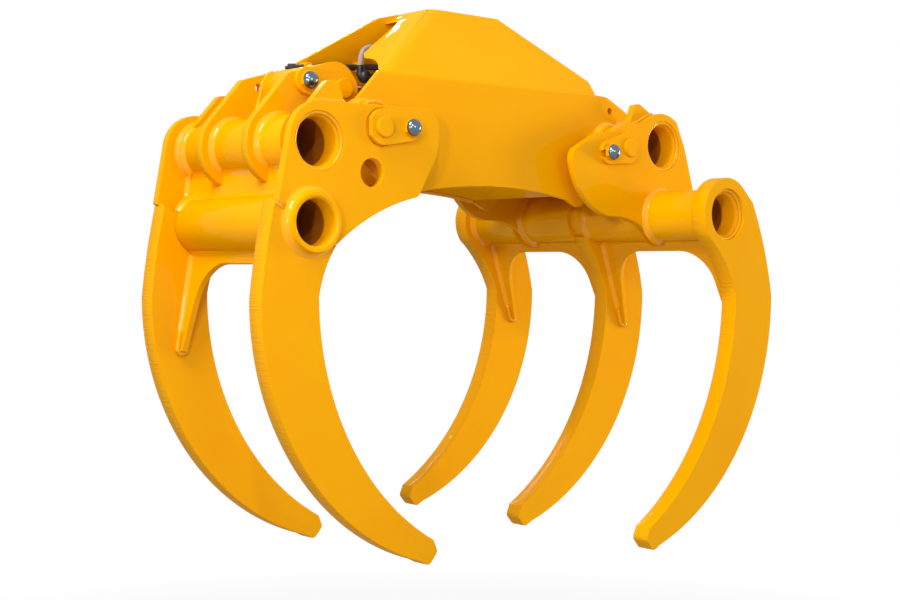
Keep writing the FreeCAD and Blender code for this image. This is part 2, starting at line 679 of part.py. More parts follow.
# Pins and their retaining plates ----------------------------------------------------------------------

def retaining_plate(pin, bolt, flat_end, slotted=False):
    """A tapered plate from a pin to a bolt, cut square or left round behind the pin."""
    span = math.hypot(bolt[0] - pin[0], bolt[1] - pin[1])
    spread = math.degrees(math.acos((PLATE_PIN_R - PLATE_BOLT_R) / span))
    ends = [polar((0.0, 0.0), PLATE_PIN_R, spread), polar((0.0, 0.0), PLATE_PIN_R, -spread)]
    tips = [polar((span, 0.0), PLATE_BOLT_R, -spread), polar((span, 0.0), PLATE_BOLT_R, spread)]
    behind = (-PLATE_PIN_R, 0.0)
    face = flat(ends[0], (behind, ends[1]), tips[0], ((span + PLATE_BOLT_R, 0.0), tips[1]))
    plate = slab(face, 0, PLATE_T)
    if flat_end:
        square = Part.makeBox(FAR, FAR, FAR, Vector(-FAR - PLATE_SQUARE, -FAR / 2, -FAR / 2))
        plate = plate.cut(square)
    plate = plate.cut([rod((0.0, 0.0), PIN_R - PIN_STEP, -1, PLATE_T + 1),
                       rod((span, 0.0), STUD_R + FIT, -1, PLATE_T + 1)])
    if slotted:
        slot = Part.makeBox(FAR, PLATE_T + 2, 2 * STUD_R + 2 * FIT, Vector(span, -1, -STUD_R - FIT))
        plate = plate.cut(slot)
    heading = math.degrees(math.atan2(bolt[1] - pin[1], bolt[0] - pin[0]))
    plate.rotate(Vector(0, 0, 0), Vector(0, 1, 0), -heading)
    plate.translate(Vector(pin[0], 0, pin[1]))
    return plate


def pin(at, inner, shoulder):
    """A pin from its inner end to a shoulder under its plate, then a stepped head through the plate."""
    body = rod(at, PIN_R, -shoulder, -inner)
    head = rod(at, PIN_R - PIN_STEP, -shoulder - PLATE_T - PIN_HEAD, -shoulder)
    rounded = head.makeFillet(PIN_EDGE, [edge for edge in head.Edges if is_outer_rim(edge, head)])
    return body.fuse(rounded)


def is_outer_rim(edge, head):
    return edge.BoundBox.YMax < head.BoundBox.YMin + 0.01


def domed_nut(at, seat, depth):
    """A stud with its domed nut, seated on a retaining plate; the stud runs back through the ear."""
    stud = rod(at, STUD_R, -seat, -seat + depth)
    corners = [polar(at, NUT_R, 60 * k + 30) for k in range(6)]
    base = slab(flat(*corners), -seat - NUT_T, -seat)
    ball = Part.makeSphere(DOME_R, Vector(at[0], -seat - NUT_T + DOME_SINK, at[1]))
    outside = Vector(at[0] - FAR / 2, -seat - NUT_T - FAR, at[1] - FAR / 2)
    dome = ball.common(Part.makeBox(FAR, FAR, FAR, outside))
    return base.fuse([stud, dome])


# Cylinder -------------------------------------------------------------------------------------------

def bar(radius, x0, x1):
    """A round along the cylinder's axis."""
    return Part.makeCylinder(radius, abs(x1 - x0), Vector(min(x0, x1), 0, CYL_PIN[1]), Vector(1, 0, 0))


def cylinder_eye(x, bore):
    half = LUG_IN - EYE_GAP
    return ring((x, CYL_PIN[1]), CYL_EYE_R, bore, -half, half)


def eye_bush(x, outer, bore):
    half = LUG_IN - EYE_GAP
    return ring((x, CYL_PIN[1]), outer, bore, -half, half)


def port_base(x):
    """The welded port on the barrel, turned to the rear of its top."""
    foot = Vector(x, 0, CYL_PIN[1])
    tower = Part.makeCylinder(PORT_R, PORT_OUT, foot, PORT_WAY)
    return tower.cut(bar(BARREL_R, x - 2 * PORT_R, x + 2 * PORT_R))


def save_cylinder():
    barrel_pin = PIVOT_X + CYL_PIN[0]
    rod_pin = -barrel_pin
    floor = barrel_pin - BARREL_BASE
    lip = barrel_pin - BARREL_L + GLAND_LIP
    mouth = barrel_pin - BARREL_L
    fixed_bore = PIN_R + BUSH_WALL
    open_bore = PIN_R + OPEN_CLEAR
    base = cylinder_eye(barrel_pin, fixed_bore).fuse(bar(BARREL_R, floor, floor + BASE_L))
    base = base.cut(rod((barrel_pin, CYL_PIN[1]), fixed_bore, -FAR, FAR)).removeSplitter()
    gland = bar(BORE_R, lip, mouth + GLAND_L).fuse(bar(BARREL_R, mouth, lip))
    gland = gland.cut(bar(ROD_R + FIT, -FAR, FAR))
    piston_near = rod_pin + PISTON_AT - PISTON_L
    piston_far = rod_pin + PISTON_AT
    shaft = bar(ROD_R, rod_pin + CYL_EYE_R, piston_near).fuse(bar(SPIGOT_R, piston_near, piston_far))
    eye = cylinder_eye(rod_pin, open_bore + BUSH_WALL).fuse(
        bar(NECK_R, rod_pin + CYL_EYE_R - NECK_L, rod_pin + CYL_EYE_R))
    eye = eye.cut(rod((rod_pin, CYL_PIN[1]), open_bore + BUSH_WALL, -FAR, FAR)).removeSplitter()
    port_x = mouth + PORT_INSET
    braid = [(port_x + x, y, z) for x, y, z in BRAID_ROUTE]
    groups = {
        "barrel_eye": [base],
        "barrel_bush": [eye_bush(barrel_pin, fixed_bore, PIN_R + FIT)],
        "cylinder_barrel": [bar(BARREL_R, lip, floor).cut(bar(BORE_R, lip - 1, floor + 1))],
        "cylinder_gland": [gland.removeSplitter()],
        "barrel_ports": [port_base(port_x), port_base(floor - 2 * PORT_R)],
        "port_elbow": [port_elbow(port_x)],
        "port_plug": [port_plug(floor - 2 * PORT_R)],
        "braided_hose": [hose(braid, BRAID_R)],
        "braided_hose_cap": [end_cap(braid[-2], braid[-1], BRAID_R)],
        "cylinder_rod": [shaft],
        "cylinder_piston": [bar(BORE_R - FIT, piston_near, piston_far).cut(bar(SPIGOT_R, -FAR, FAR))],
        "rod_eye": [eye],
        "rod_bush": [eye_bush(rod_pin, open_bore + BUSH_WALL, open_bore)],
    }
    for name, pieces in groups.items():
        for piece in pieces:
            piece.translate(Vector(0, 0, -PIVOT_DROP))
        save(name, *pieces)


def port_end(x, further=0.0):
    """The middle of a port's face, or a point further out from the barrel."""
    return Vector(x, 0, CYL_PIN[1]) + PORT_WAY * (PORT_OUT + further)


def port_elbow(x):
    """The banjo on the port, an arm past the gland and the stub that the braided hose is crimped to."""
    banjo = Part.makeCylinder(BANJO_R, BANJO_T, port_end(x), PORT_WAY)
    start = port_end(x, BANJO_T / 2)
    knuckle_at = start - Vector(ARM_L, 0, 0)
    arm = Part.makeCylinder(ARM_R, ARM_L, start, Vector(-1, 0, 0))
    knuckle = Part.makeSphere(KNUCKLE_R, knuckle_at, Vector(0, 1, 0))
    foot = Vector(*BRAID_ROUTE[0]) + Vector(x, 0, 0)
    stub = Part.makeCylinder(BRAID_R + CAP_WALL, foot.z - knuckle_at.z, foot, Vector(0, 0, -1))
    return banjo.fuse([arm, knuckle, stub]).removeSplitter()


def port_plug(x):
    return Part.makeCylinder(PLUG_R, CAP_L, port_end(x), PORT_WAY)


# Saving ---------------------------------------------------------------------------------------------

def save_pair(side, name, front):
    """The front piece and its mirrored twin at the rear, in a node each."""
    save(f"{name}_front", set_on_pivot(front, side))
    save(f"{name}_rear", set_on_pivot(mirrored(front), side))


def save_both(side, name, front):
    """The same for pieces whose two copies share one node."""
    save(name, set_on_pivot(front, side), set_on_pivot(mirrored(front), side))


def save_pins(side, name, turn, cyl_bolt, plate_at_front, slotted):
    """A jaw's pins, their plates and the domed nuts that hold the plates."""
    bolt = plate_bolt(turn)
    plate = retaining_plate((0.0, 0.0), bolt, True, slotted)
    plate.translate(Vector(0, -PLATE_OUT, 0))
    save_both(side, f"{name}_pivot_pins", pin((0.0, 0.0), BOSS_IN, EAR_OUT))
    save_both(side, f"{name}_pin_plates", plate)
    cyl_plate = retaining_plate(CYL_PIN, cyl_bolt, False)
    cyl_plate.translate(Vector(0, -LUG_OUT - PLATE_T, 0))
    nut = domed_nut(bolt, PLATE_OUT, PLATE_T + EAR_T)
    cyl_nut = domed_nut(cyl_bolt, LUG_OUT + PLATE_T, PLATE_T + LUG_T)
    own = [pin(CYL_PIN, -LUG_OUT, LUG_OUT), cyl_plate, cyl_nut]
    if not plate_at_front:
        own = [mirrored(piece) for piece in own]
    cyl_pin, cyl_plate, cyl_nut = [set_on_pivot(piece, side) for piece in own]
    save(f"{name}_cylinder_pin", cyl_pin)
    save(f"{name}_cylinder_pin_plate", cyl_plate)
    save(f"{name}_pin_nuts", set_on_pivot(nut, side), set_on_pivot(mirrored(nut), side), cyl_nut)


def save_left_jaw():
    side = -1
    save("left_ear_front", set_on_pivot(left_ear(FRONT_TOE, FRONT_SHOULDER), side))
    save("left_ear_rear", set_on_pivot(mirrored(left_ear(REAR_TOE, REAR_SHOULDER)), side))
    save_pair(side, "left_tine", left_tine())
    save_pair(side, "left_lug", left_lug())
    save("left_upper_tube", set_on_pivot(tube(LEFT_UPPER, UPPER_WALL, EAR_OUT - UPPER_TUBE_SINK), side))
    save("left_lower_tube", set_on_pivot(tube(LEFT_LOWER, LOWER_WALL, EAR_OUT + LEFT_TUBE_PROUD), side))
    save("left_tube_web", set_on_pivot(tube_web(LEFT_UPPER, LEFT_LOWER), side))
    save("left_bridge", *[set_on_pivot(bay, side) for bay in left_bridge()])
    save("left_lug_web", set_on_pivot(left_lug_web(), side))
    save_both(side, "left_ribs", left_rib())
    save_both(side, "left_ear_bosses", ear_boss())
    save_pins(side, "left", LEFT_PLATE_TURN, LEFT_CYL_BOLT, plate_at_front=True, slotted=False)


def save_right_jaw():
    side = 1
    save_pair(side, "right_ear", right_ear())
    save_pair(side, "right_tine", right_outer_tine())
    save("right_tine_middle", set_on_pivot(right_middle_tine(), side))
    save_pair(side, "right_lug", right_lug())
    save("right_upper_tube", set_on_pivot(tube(RIGHT_UPPER, UPPER_WALL, EAR_OUT - UPPER_TUBE_SINK), side))
    tube_half = RIGHT_SPREAD - RIGHT_TUBE_SINK
    save("right_lower_tube", set_on_pivot(tube(RIGHT_LOWER, LOWER_WALL, tube_half), side))
    save("right_tube_web", set_on_pivot(tube_web(RIGHT_UPPER, RIGHT_LOWER), side))
    save("right_bridges", *[set_on_pivot(bay, side) for bay in right_bridges()])
    save("right_lug_web", set_on_pivot(right_lug_web(), side))
    save_both(side, "right_ribs", right_rib())
    save_both(side, "right_ear_bosses", ear_boss())
    save_pins(side, "right", RIGHT_PLATE_TURN, RIGHT_CYL_BOLT, plate_at_front=False, slotted=True)


save_casing()
save_left_jaw()
save_right_jaw()
save_cylinder()
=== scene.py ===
# %% [markdown]
# # A five-tine log grapple
# A log grapple hangs from a crane tip. One lying hydraulic cylinder spreads two jaws that turn on pins in
# the ends of a folded steel casing. The plates, tubes, pins and the cylinder come from the CAD model. This
# lesson adds what a CAD model leaves out: the welds, the hose's woven cover, the plated caps, softened plate
# edges, paint and light. Everything is in metres, with +Z up and the flange's top at zero.

# %% Load the CAD model
import bpy
import math
from mathutils import Matrix, Vector


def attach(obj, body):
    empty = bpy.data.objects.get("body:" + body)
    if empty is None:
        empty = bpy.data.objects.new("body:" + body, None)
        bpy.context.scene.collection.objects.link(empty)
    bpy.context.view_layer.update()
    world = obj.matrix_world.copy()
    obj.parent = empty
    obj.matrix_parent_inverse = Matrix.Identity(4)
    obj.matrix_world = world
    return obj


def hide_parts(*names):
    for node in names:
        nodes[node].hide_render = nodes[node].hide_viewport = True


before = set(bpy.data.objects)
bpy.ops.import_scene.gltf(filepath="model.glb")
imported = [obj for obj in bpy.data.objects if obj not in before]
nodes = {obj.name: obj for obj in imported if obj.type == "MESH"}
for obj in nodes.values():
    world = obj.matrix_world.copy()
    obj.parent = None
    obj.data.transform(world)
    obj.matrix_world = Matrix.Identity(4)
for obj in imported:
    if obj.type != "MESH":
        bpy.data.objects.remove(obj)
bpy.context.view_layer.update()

# %% [markdown]
# ## The camera
# The grapple is seen from its front left and from a little below its casing. From close by, the near tines
# would look swollen, so the camera stands 3.3 m away and has a long lens. Its turn about Z is given as a
# heading, measured from +Y towards +X. No camera stands quite level, so a fifth of a degree of roll is left
# in.

# %% Camera
HEADING = math.radians(41.743)
TILT = math.radians(-1.278)
ROLL = math.radians(0.217)
CAMERA_PLACE = (-2.187, -2.4655, -0.555)
FOCAL_MM = 59.1
SENSOR_MM = 36.0

lens = bpy.data.cameras.new("camera")
lens.sensor_width = SENSOR_MM
lens.lens = FOCAL_MM
camera = bpy.data.objects.new("camera", lens)
camera.location = CAMERA_PLACE
turn = Matrix.Rotation(-HEADING, 3, "Z") @ Matrix.Rotation(math.radians(90) + TILT, 3, "X")
camera.rotation_euler = (turn @ Matrix.Rotation(ROLL, 3, "Z")).to_euler()
bpy.context.scene.collection.objects.link(camera)
bpy.context.scene.camera = camera
bpy.context.scene.view_settings.view_transform = "Standard"
print("camera", round(camera.location.length, 2), "m from the flange")

# %% [markdown]
# ## Working one piece at a time
# Blender's operators act on whatever is selected, and the imported CAD nodes start out selected. So each
# step begins by deselecting everything. These small helpers do that. They also turn a jaw's own millimetres
# (outwards from its pivot, up from it, and along it) into places in the scene.

# %% Helpers
PIVOT_X = 0.360
PIVOT_Z = -0.282
LEFT, RIGHT = -1, 1
PIVOT = (0.0, 0.0)


def deselect():
    """Leaves nothing selected."""
    bpy.ops.object.select_all(action="DESELECT")


def only(piece):
    """Selects this piece alone and makes it the active one."""
    deselect()
    piece.select_set(True)
    bpy.context.view_layer.objects.active = piece


def settle(pieces, name, body, material):
    """Joins pieces into one that rides on a body, with its place and turn taken up into its mesh."""
    only(pieces[0])
    if len(pieces) > 1:
        for piece in pieces:
            piece.select_set(True)
        bpy.ops.object.join()
    whole = bpy.context.object
    whole.name = name
    bpy.ops.object.transform_apply(location=True, rotation=True, scale=True)
    whole.data.materials.clear()
    whole.data.materials.append(material)
    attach(whole, body)
    return whole


def jaw_place(side, out, up, y):
    """A place drawn in mm from a jaw's pivot; side is -1 for the left jaw and 1 for the right."""
    return Vector((side * (PIVOT_X + out / 1000), y / 1000, PIVOT_Z + up / 1000))


def triangles(piece):
    """How many triangles a piece's faces make."""
    return sum(len(face.vertices) - 2 for face in piece.data.polygons)


# %% [markdown]
# ## The pressure hose
# A braided hose leaves the elbow on the cylinder straight upwards, turns over in one tight bend and runs
# back into the casing, where a crimped fitting closes it. A hose is drawn as one smooth NURBS line. Its
# points are listed, and the curve's own bevel gives it its thickness. The order is set after the
# points are there, because a two-point line can't take a higher one.

# %% Pressure hose
HOSE_R = 0.006
FRONT_PORT_X = -0.1247
HOSE_POINTS = [(-0.0715, 0.060, 0.163), (-0.0715, 0.060, 0.191), (-0.047, 0.060, 0.2075),
               (-0.011, 0.059, 0.1995), (0.0295, 0.056, 0.1935)]

deselect()
line = bpy.data.curves.new("braided_sleeve", "CURVE")
line.dimensions = "3D"
spline = line.splines.new("NURBS")
spline.points.add(len(HOSE_POINTS) - 1)
for knot, (x, y, z) in zip(spline.points, HOSE_POINTS):
    knot.co = (x + FRONT_PORT_X, y, z + PIVOT_Z, 1.0)
spline.order_u = 3
spline.use_endpoint_u = True
line.resolution_u = 24
hose = bpy.data.objects.new("braided_sleeve", line)
bpy.context.scene.collection.objects.link(hose)
centre_line = [list(dot.co) for dot in bpy.data.meshes.new_from_object(hose).vertices]
line.bevel_depth = HOSE_R
line.bevel_resolution = 6
line.use_fill_caps = True
only(hose)
bpy.ops.object.convert(target="MESH")
bpy.ops.object.shade_smooth_by_angle(angle=math.radians(40))
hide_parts("braided_hose")
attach(hose, "barrel")
print("hose drawn through", len(HOSE_POINTS), "points,", [layer.name for layer in hose.data.uv_layers])

# %% [markdown]
# ## The studio
# The grapple is shown on white. A floor more than half a metre below its tips catches its shadow. Four broad
# soft lamps light the roof, the front, the right side and the left side, and the sky fills the rest. They
# stand clear of the place that the flat walls mirror, so the paint keeps its full colour. Three small bright
# lamps are there for the glints: two for the welds and rims, and one behind for the tops of the tubes. The
# sky is white only where the camera, a gloss or a glass looks at it, so that the background can be white
# without flooding the paint with light. The floor is part grey and part glow. Under the grapple it is grey
# enough to keep the shadow, and it glows more and more further out, until it melts into the white.

# %% Sky and floor
FLOOR_Z = -1.75
FLOOR_R = 6.0
FLOOR_GREY = (0.35, 0.35, 0.35, 1.0)
GLOW_STARTS, ALL_WHITE = 0.4, 2.6
GLOW_IN_MIDDLE = 0.65
SKY_FILL = 0.42
WHITE = (1.0, 1.0, 1.0, 1.0)


def tree_of(owner):
    """An empty node tree for a material or world."""
    owner.use_nodes = True
    owner.node_tree.nodes.clear()
    return owner.node_tree


def node(tree, kind, **inputs):
    """A shader node with some of its inputs set or linked. Spaces in an input's name are written as _."""
    made = tree.nodes.new("ShaderNode" + kind)
    for name, value in inputs.items():
        number = name[0] == "n" and name[1:].isdigit()
        socket = made.inputs[int(name[1:]) if number else name.replace("_", " ")]
        if isinstance(value, bpy.types.NodeSocket):
            tree.links.new(value, socket)
        else:
            socket.default_value = value
    return made


def math_node(tree, operation, first, second=0.0, third=0.0):
    """The result of a Math node on numbers or other nodes' results."""
    made = tree.nodes.new("ShaderNodeMath")
    made.operation = operation
    for socket, value in zip(made.inputs, (first, second, third)):
        if isinstance(value, bpy.types.NodeSocket):
            tree.links.new(value, socket)
        else:
            socket.default_value = value
    return made.outputs[0]


sky = bpy.data.worlds.new("sky")
bpy.context.scene.world = sky
tree = tree_of(sky)
seen = node(tree, "LightPath")
direct = math_node(tree, "MAXIMUM", seen.outputs["Is Camera Ray"], seen.outputs["Is Transmission Ray"])
white = math_node(tree, "MAXIMUM", direct, seen.outputs["Is Glossy Ray"])
fill = node(tree, "Background", Color=WHITE, Strength=SKY_FILL)
backdrop = node(tree, "Background", Color=WHITE, Strength=1.0)
both = node(tree, "MixShader", Fac=white, n1=fill.outputs[0], n2=backdrop.outputs[0])
node(tree, "OutputWorld", Surface=both.outputs[0])

deselect()
bpy.ops.mesh.primitive_circle_add(vertices=96, radius=FLOOR_R, fill_type="NGON", location=(0, 0, FLOOR_Z))
floor = bpy.context.object
floor.name = "floor"
floor_white = bpy.data.materials.new("floor_white")
tree = tree_of(floor_white)
place = node(tree, "TexCoord").outputs["Object"]
away = node(tree, "VectorMath", n0=place)
away.operation = "LENGTH"
far_out = node(tree, "MapRange", Value=away.outputs["Value"], From_Min=GLOW_STARTS, From_Max=ALL_WHITE,
               To_Min=GLOW_IN_MIDDLE, To_Max=1.0)
seen = node(tree, "LightPath")
lit = node(tree, "BsdfDiffuse", Color=FLOOR_GREY)
glow = node(tree, "Emission", Color=WHITE, Strength=1.0)
share = math_node(tree, "MULTIPLY", far_out.outputs[0],
                  math_node(tree, "MAXIMUM", seen.outputs["Is Camera Ray"], seen.outputs["Is Glossy Ray"]))
mixed = node(tree, "MixShader", Fac=share, n1=lit.outputs[0], n2=glow.outputs[0])
node(tree, "OutputMaterial", Surface=mixed.outputs[0])
floor.data.materials.append(floor_white)
print("floor", FLOOR_Z, "m, sky fill", SKY_FILL)

# %% Lamps
AIM = Vector((0.0, 0.0, -0.45))


def soft_lamp(name, place, width, height, watts):
    """A glowing rectangle that faces the middle of the grapple."""
    light = bpy.data.lights.new(name, "AREA")
    light.shape = "RECTANGLE"
    light.size = width
    light.size_y = height
    light.energy = watts
    lamp = bpy.data.objects.new(name, light)
    lamp.location = place
    lamp.rotation_euler = (AIM - Vector(place)).to_track_quat("-Z", "Y").to_euler()
    bpy.context.scene.collection.objects.link(lamp)


soft_lamp("key_lamp", (-2.5, -0.7, 2.1), 0.8, 1.6, 88)
soft_lamp("front_lamp", (-1.0, -4.4, 0.3), 1.2, 1.2, 28)
soft_lamp("right_lamp", (3.4, -1.4, -0.4), 0.7, 1.2, 80)
soft_lamp("side_lamp", (-5.2, -1.8, -0.2), 0.8, 1.2, 30)
soft_lamp("glint_lamp", (-2.9, -2.1, -0.1), 0.09, 0.09, 24)
soft_lamp("high_glint_lamp", (-2.2, -2.5, 1.2), 0.09, 0.09, 22)
soft_lamp("streak_lamp", (0.8, 2.5, 1.5), 0.25, 0.25, 60)

# %% [markdown]
# ## The paint
# The whole grapple is sprayed with one gloss yellow after welding. Three things make sprayed steel look
# real: a clear top gloss, a very shallow orange-peel ripple a few millimetres across, and colour that drifts
# a little where the coat is thick or thin. Plates also keep the marks of the cutting torch on their edges:
# fine lines across the thickness. Those lines are noise stretched along the pivots' direction, and a mask
# from the surface's own direction keeps them off the flat sides. Inside the open tubes the spray reaches only
# a few centimetres. Beyond that they are painted a dark brown, which is partly bare steel and partly
# painted shade of the deep bore. How far a place is from the tube's axis and from its middle picks that out.
# All the shine is in the clear coat. The colour below it has none of its own, so it stays deep.

# %% Yellow paint
YELLOW = (0.84, 0.375, 0.0, 1.0)
YELLOW_THICK = (0.84, 0.350, 0.0, 1.0)
# Dark brown deep in the tubes: bare steel, made darker still as painted shade of the deep bore.
BARE_SHADED_INSIDE = (0.30, 0.085, 0.004, 1.0)
SPRAY_REACH = 0.040
PEEL_SCALE = 230.0
CUT_SCALE = 300.0
LUMP_SCALE = 140.0
PLATE_COAT, BEAD_COAT = 0.14, 0.6


def drift(tree, place, scale, low, high):
    """A number that wanders over the surface between low and high."""
    noise = node(tree, "TexNoise", Vector=place, Scale=scale, Detail=3.0)
    spread = node(tree, "MapRange", Value=noise.outputs[0], From_Min=0.3, From_Max=0.7, To_Min=low,
                  To_Max=high)
    return spread.outputs[0]


def bare_shaded_depth(tree, place, centre, bore_r, end):
    """One inside a tube, beyond the spray gun's reach from its ends, where bare steel and painted shade go;
    zero elsewhere.
    """
    level = node(tree, "Mapping", Vector=place, Location=(-centre.x, 0.0, -centre.z), Scale=(1.0, 0.0, 1.0))
    from_axis = node(tree, "VectorMath", n0=level.outputs[0])
    from_axis.operation = "LENGTH"
    within = math_node(tree, "LESS_THAN", from_axis.outputs["Value"], bore_r + 0.001)
    parts = node(tree, "SeparateXYZ", Vector=place)
    off_middle = math_node(tree, "ABSOLUTE", parts.outputs["Y"])
    limit = end - SPRAY_REACH
    deep = node(tree, "MapRange", Value=off_middle, From_Min=limit - 0.003, From_Max=limit + 0.002,
                To_Min=1.0, To_Max=0.0)
    return math_node(tree, "MULTIPLY", within, deep.outputs[0])


def paint(name, cut_edges=False, bead=False, bore=None):
    """The yellow paint, with torch marks on plate edges, lumps on beads or a bare bore in painted shade where
    asked for.
    """
    made = bpy.data.materials.new(name)
    tree = tree_of(made)
    coords = node(tree, "TexCoord")
    place = coords.outputs["Object"]
    colour = node(tree, "Mix", n0=drift(tree, place, 6.0, 0.0, 1.0), n6=YELLOW, n7=YELLOW_THICK)
    colour.data_type = "RGBA"
    if bore:
        # Deep in a bore the colour turns to bare steel, darkened as painted shade.
        colour = node(tree, "Mix", n0=bare_shaded_depth(tree, place, *bore), n6=colour.outputs[2], n7=BARE_SHADED_INSIDE)
        colour.data_type = "RGBA"
    peel = node(tree, "TexNoise", Vector=place, Scale=PEEL_SCALE, Detail=1.5)
    bump = node(tree, "Bump", Strength=0.10, Distance=0.0006, Height=peel.outputs[0])
    if cut_edges:
        stretched = node(tree, "Mapping", Vector=place, Scale=(1.0, 0.03, 1.0))
        lines = node(tree, "TexNoise", Vector=stretched.outputs[0], Scale=CUT_SCALE, Detail=4.0)
        sideways = node(tree, "SeparateXYZ", Vector=coords.outputs["Normal"])
        flat_side = math_node(tree, "ABSOLUTE", sideways.outputs["Y"])
        mask = math_node(tree, "LESS_THAN", flat_side, 0.3)
        height = math_node(tree, "MULTIPLY", lines.outputs[0], mask)
        bump = node(tree, "Bump", Strength=0.8, Distance=0.0022, Height=height, Normal=bump.outputs[0])
    if bead:
        lumps = node(tree, "TexNoise", Vector=place, Scale=LUMP_SCALE, Detail=2.0)
        bump = node(tree, "Bump", Strength=0.35, Distance=0.0015, Height=lumps.outputs[0],
                    Normal=bump.outputs[0])
    skin = node(tree, "BsdfPrincipled", Base_Color=colour.outputs[2], Normal=bump.outputs[0],
                Specular_IOR_Level=0.0, Coat_Weight=BEAD_COAT if bead else PLATE_COAT,
                Coat_Roughness=0.05, Coat_Normal=bump.outputs[0])
    node(tree, "OutputMaterial", Surface=skin.outputs[0])
    return made


sheet_paint = paint("sheet_paint")
cut_paint = paint("cut_plate_paint", cut_edges=True)
bead_paint = paint("weld_paint", bead=True)
print("paints:", sheet_paint.name, cut_paint.name, bead_paint.name)

# %% [markdown]
# ## Paint for the open tubes
# Each open tube needs a paint of its own, because its axis lies elsewhere. The tubes are given in their jaw's
# own millimetres: where the axis is, the radius of the bore, and how far the tube reaches from the jaw's
# middle.

# %% Tube paints
TUBE_R = 57.15
UPPER_BORE_R, LOWER_BORE_R = 47.15, 45.15
LEFT_UPPER, LEFT_LOWER = (149.5, -35.5), (170.0, -190.0)
RIGHT_UPPER, RIGHT_LOWER = (128.5, 11.0), (119.0, -153.0)
UPPER_END, LEFT_LOWER_END, RIGHT_LOWER_END = 207.0, 236.0, 399.0
OPEN_TUBES = (("left_upper_tube", LEFT, LEFT_UPPER, UPPER_BORE_R, UPPER_END),
              ("left_lower_tube", LEFT, LEFT_LOWER, LOWER_BORE_R, LEFT_LOWER_END),
              ("right_upper_tube", RIGHT, RIGHT_UPPER, UPPER_BORE_R, UPPER_END),
              ("right_lower_tube", RIGHT, RIGHT_LOWER, LOWER_BORE_R, RIGHT_LOWER_END))

tube_paint = {}
for tube, side, axis, bore_r, end in OPEN_TUBES:
    centre = jaw_place(side, axis[0], axis[1], 0.0)
    tube_paint[tube] = paint(tube + "_paint", bore=(centre, bore_r / 1000, end / 1000))
print("tube paints:", len(tube_paint))

# %% [markdown]
# ## Bare metals, rubber and braid
# The rod is hard chrome, the domes on the pins' nuts are bright zinc, the hose's end, the plug and the gland
# are plated dull, and the ports and the elbow are blackened. A bare metal takes its own base colour and a
# metallic value of one, and blackened steel a lower one. The zinc's base colour is made dark blue-grey, as a
# painted reflection of dark surroundings in the domes. What tells them apart is roughness: chrome is a
# mirror, zinc is a little cloudy, and the others are duller and carry more marks.

# %% Metals
def metal(name, colour, rough, scratch=0.0, scale=400.0, metallic=1.0):
    """A metal whose roughness wanders and whose surface carries fine marks."""
    made = bpy.data.materials.new(name)
    tree = tree_of(made)
    place = node(tree, "TexCoord").outputs["Object"]
    marks = node(tree, "TexNoise", Vector=place, Scale=scale, Detail=4.0)
    bump = node(tree, "Bump", Strength=scratch, Distance=0.0005, Height=marks.outputs[0])
    darker = tuple(0.82 * c for c in colour[:3]) + (1.0,)
    tint = node(tree, "Mix", n0=drift(tree, place, 60.0, 0.0, 1.0), n6=colour, n7=darker)
    tint.data_type = "RGBA"
    skin = node(tree, "BsdfPrincipled", Base_Color=tint.outputs[2], Normal=bump.outputs[0], Metallic=metallic,
                Roughness=drift(tree, place, 90.0, 0.75 * rough, 1.25 * rough))
    node(tree, "OutputMaterial", Surface=skin.outputs[0])
    return made


chrome = metal("hard_chrome", (0.80, 0.82, 0.85, 1.0), 0.07, scratch=0.02)
# Painted reflection: the zinc's dark blue-grey base colour stands in for dark surroundings mirrored in the
# domes.
dark_mirror_zinc = metal("zinc_painted_dark_mirror", (0.15, 0.19, 0.24, 1.0), 0.12, scratch=0.06, scale=250.0)
plated = metal("plated_fitting", (0.62, 0.60, 0.52, 1.0), 0.30, scratch=0.08)
black_steel = metal("blackened_steel", (0.035, 0.035, 0.038, 1.0), 0.34, scratch=0.15, metallic=0.6)
bronze = metal("bush_bronze", (0.55, 0.36, 0.16, 1.0), 0.30, scratch=0.1)
iron = metal("piston_iron", (0.28, 0.28, 0.29, 1.0), 0.40, scratch=0.2)
print("metals:", chrome.name, dark_mirror_zinc.name, plated.name, black_steel.name, bronze.name, iron.name)

# %% Rubber
def rubber(name):
    """Black rubber with a fine grain."""
    made = bpy.data.materials.new(name)
    tree = tree_of(made)
    place = node(tree, "TexCoord").outputs["Object"]
    grain = node(tree, "TexNoise", Vector=place, Scale=1500.0, Detail=2.0)
    bump = node(tree, "Bump", Strength=0.25, Distance=0.0003, Height=grain.outputs[0])
    tint = node(tree, "Mix", n0=drift(tree, place, 30.0, 0.0, 1.0), n6=(0.012, 0.012, 0.012, 1.0),
                n7=(0.024, 0.023, 0.022, 1.0))
    tint.data_type = "RGBA"
    skin = node(tree, "BsdfPrincipled", Base_Color=tint.outputs[2], Normal=bump.outputs[0],
                Roughness=drift(tree, place, 120.0, 0.42, 0.58))
    node(tree, "OutputMaterial", Surface=skin.outputs[0])
    return made


black_rubber = rubber("hose_rubber")
print("made", black_rubber.name)

# %% [markdown]
# ## The woven cover
# The hose's textile cover is a weave of grey-brown yarns laid round it at a slant, both ways. A curve with a
# bevel brings its own map, in which u runs along the tube and v round it. Two slanted wave patterns on that
# map, multiplied, give the raised crossings of the weave. The same pattern also paints the crossings lighter
# and the gaps between them darker: painted light on the raised yarn and painted shade between.

# %% Braid
WAVE_ALONG = 190.0  # radians over the hose's length
YARNS_ROUND = 6


